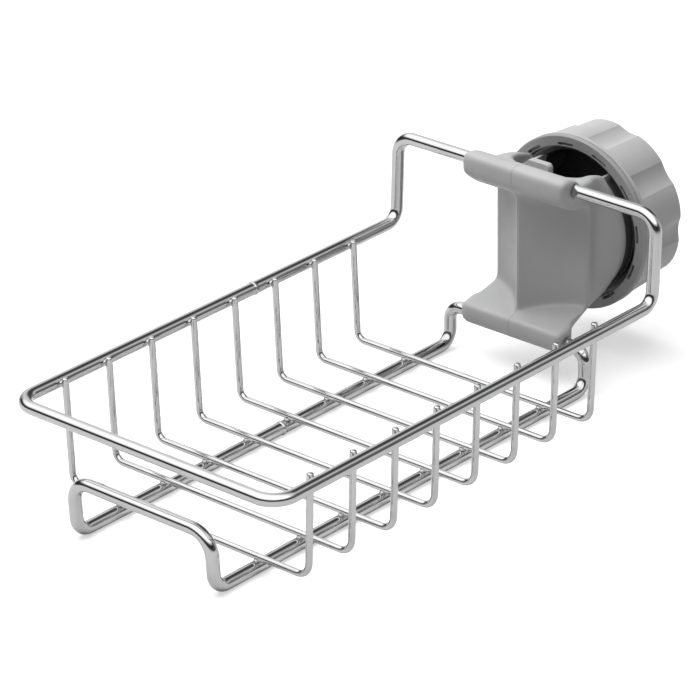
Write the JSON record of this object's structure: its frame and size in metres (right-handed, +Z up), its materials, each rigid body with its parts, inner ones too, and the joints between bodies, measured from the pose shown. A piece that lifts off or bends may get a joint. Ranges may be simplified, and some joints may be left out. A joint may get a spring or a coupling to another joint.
{
  "type": "sponge holder",
  "caption": "Wire sponge basket on raised runners, with a plastic clamp that grips an upright tap pipe when a lobed knob is turned.",
  "frame": {"origin": "middle of the footprint, on the surface that the runners stand on", "axes": "+X across the basket, +Y along it from the open front end to the knob, +Z up"},
  "size_m": [0.1053, 0.2184, 0.0699],
  "materials": {
    "frame_wire": "polished stainless wire",
    "cross_wire": "polished stainless wire",
    "weld": "electropolished weld metal",
    "clamp_plastic": "satin grey moulding",
    "soft_pad": "matt grey soft moulding",
    "ring_plastic": "satin grey moulding",
    "knob_plastic": "satin grey moulding"
  },
  "bodies": {
    "basket": {"upper_frame": "frame_wire", "lower_frame": "frame_wire", "cross_wire_1": "cross_wire", "cross_wire_2": "cross_wire", "cross_wire_3": "cross_wire", "cross_wire_4": "cross_wire", "cross_wire_5": "cross_wire", "cross_wire_6": "cross_wire", "cross_wire_7": "cross_wire", "cross_wire_8": "cross_wire", "rim_welds_left": "weld", "rim_welds_right": "weld", "runner_welds_left": "weld", "runner_welds_right": "weld", "rail_butt_weld": "weld", "runner_butt_weld": "weld", "clamp_body": "clamp_plastic", "seat_pad": "soft_pad"},
    "slip_ring": {"pressure_ring": "ring_plastic"},
    "turning_knob": {"knob": "knob_plastic"}
  },
  "joints": [
    {"name": "ring_travel", "type": "slide", "parent": "basket", "child": "slip_ring", "axis": [0, 1, 0], "range_m": [-0.001, 0.008]},
    {"name": "knob_turn", "type": "hinge", "parent": "slip_ring", "child": "turning_knob", "pos_m": [0, 0.0977, 0.0412], "axis": [0, 1, 0], "range_deg": [-120, 960]}
  ],
  "couplings": [
    {"joint": "ring_travel", "follows": "knob_turn", "m_per_rad": 0.00047746}
  ]
}
